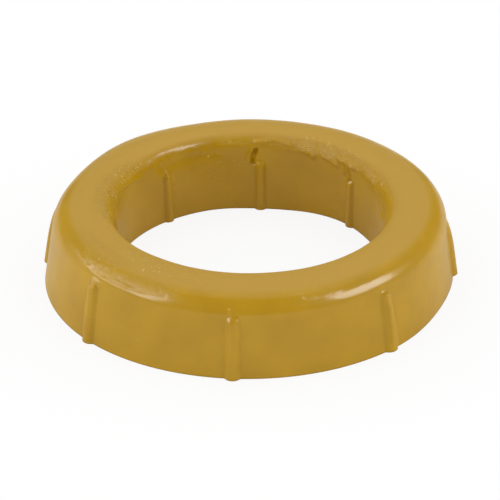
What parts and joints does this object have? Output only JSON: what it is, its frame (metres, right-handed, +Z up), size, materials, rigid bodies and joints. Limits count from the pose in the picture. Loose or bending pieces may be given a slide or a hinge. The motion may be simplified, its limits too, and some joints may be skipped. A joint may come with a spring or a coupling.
{
  "type": "toilet pan seal",
  "caption": "Cast wax ring with a domed top and small upright ribs inside and out, squeezed between a toilet pan's outlet and the soil pipe.",
  "frame": {"origin": "centre of the flat base, on the surface that the ring rests on", "axes": "+Z up through the hole, from the flat base to the domed top; +X near one of the ribs, which lean a little"},
  "size_m": [0.1436, 0.1432, 0.0289],
  "materials": {
    "wax": "cast petroleum wax, honey yellow, slightly cloudy and greasy, semi-gloss"
  },
  "bodies": {
    "root": {"wax_ring": "wax"}
  },
  "joints": []
}
